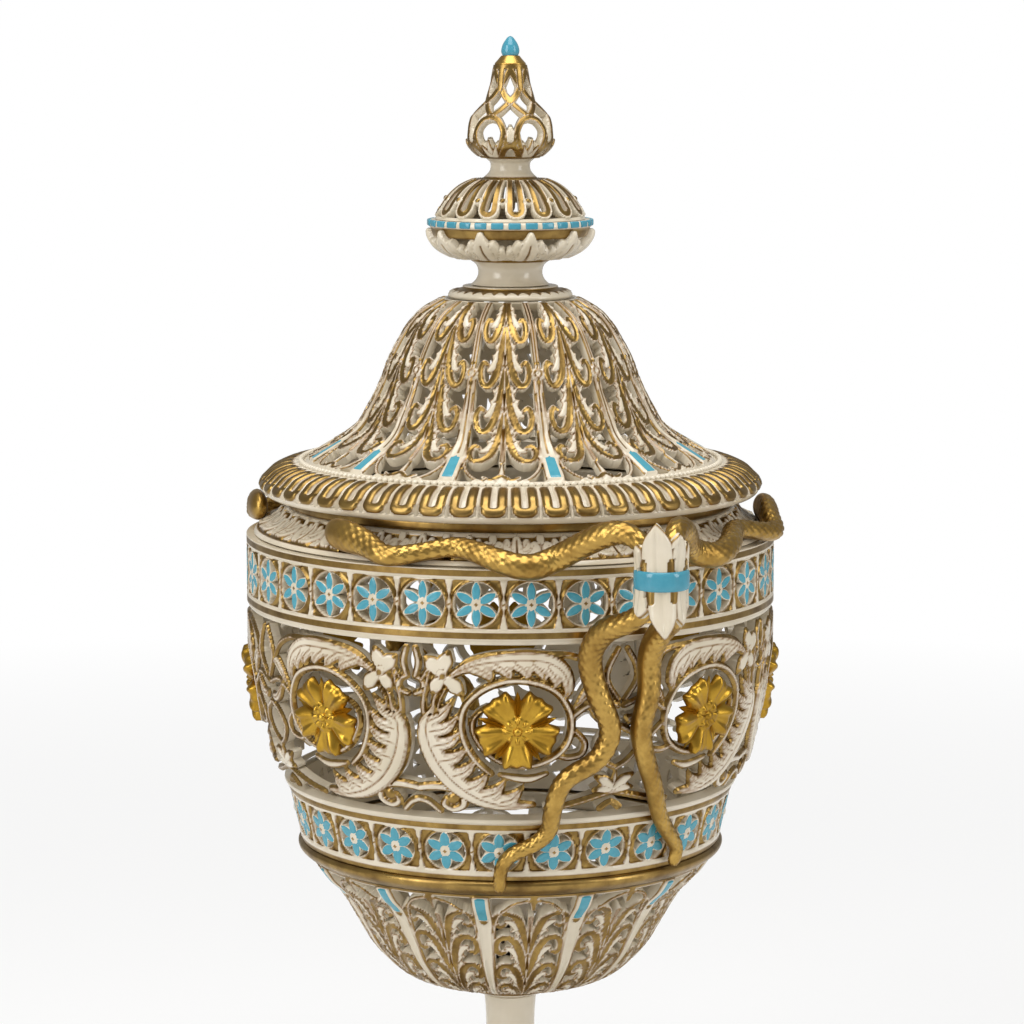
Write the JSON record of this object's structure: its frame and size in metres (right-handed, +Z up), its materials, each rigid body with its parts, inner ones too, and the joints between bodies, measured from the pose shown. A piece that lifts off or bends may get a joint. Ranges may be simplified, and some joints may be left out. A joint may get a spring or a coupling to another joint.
{
  "type": "reticulated pedestal vase",
  "caption": "Pierced porcelain vase on a stemmed foot, with flower bands, scrolling openwork, paired serpent handles and a lifting domed openwork cover with a knop and finial.",
  "frame": {"origin": "centre of the foot's resting face", "axes": "+Z up along the vase's axis; +X towards one handle, -X towards the other"},
  "size_m": [0.2218, 0.1596, 0.3681],
  "materials": {
    "ivory_glaze": "gloss",
    "gilding": "satin",
    "turquoise_enamel": "gloss",
    "dark_steel": "satin",
    "cork": "matte"
  },
  "bodies": {
    "vase": {"foot_rim": "ivory_glaze", "foot_bell": "ivory_glaze", "stem_ring": "gilding", "stem": "ivory_glaze", "bowl_ring": "gilding", "bowl_cup": "ivory_glaze", "lower_bowl": "ivory_glaze", "bowl_girdle": "gilding", "lower_flower_band": "ivory_glaze", "scroll_wall": "ivory_glaze", "rose_1": "gilding", "rose_2": "gilding", "rose_3": "gilding", "rose_4": "gilding", "rose_5": "gilding", "rose_6": "gilding", "rose_7": "gilding", "rose_8": "gilding", "upper_flower_band": "ivory_glaze", "shoulder": "ivory_glaze", "neck_band": "gilding", "lower_cork_washer": "cork", "lower_steel_washer": "dark_steel", "upper_cork_washer": "cork", "upper_steel_washer": "dark_steel", "tie_bolt": "dark_steel", "clamp_nut": "dark_steel", "lock_nut": "dark_steel", "serpent_1a": "gilding", "serpent_1b": "gilding", "ferrule_1": "ivory_glaze", "ferrule_band_1": "turquoise_enamel", "serpent_2a": "gilding", "serpent_2b": "gilding", "ferrule_2": "ivory_glaze", "ferrule_band_2": "turquoise_enamel"},
    "cover": {"cover_flange": "ivory_glaze", "cover_rim": "ivory_glaze", "cover_dome": "ivory_glaze", "dome_collar": "ivory_glaze", "knop_neck": "ivory_glaze", "knop_frill": "ivory_glaze", "knop_band": "gilding", "knop_crown": "ivory_glaze", "finial_neck": "ivory_glaze", "finial_pear": "gilding", "finial_cap": "gilding", "finial_bud": "turquoise_enamel"}
  },
  "joints": [
    {"name": "cover_lift", "type": "slide", "parent": "vase", "child": "cover", "axis": [0, 0, 1], "range_m": [0, 0.08]}
  ]
}
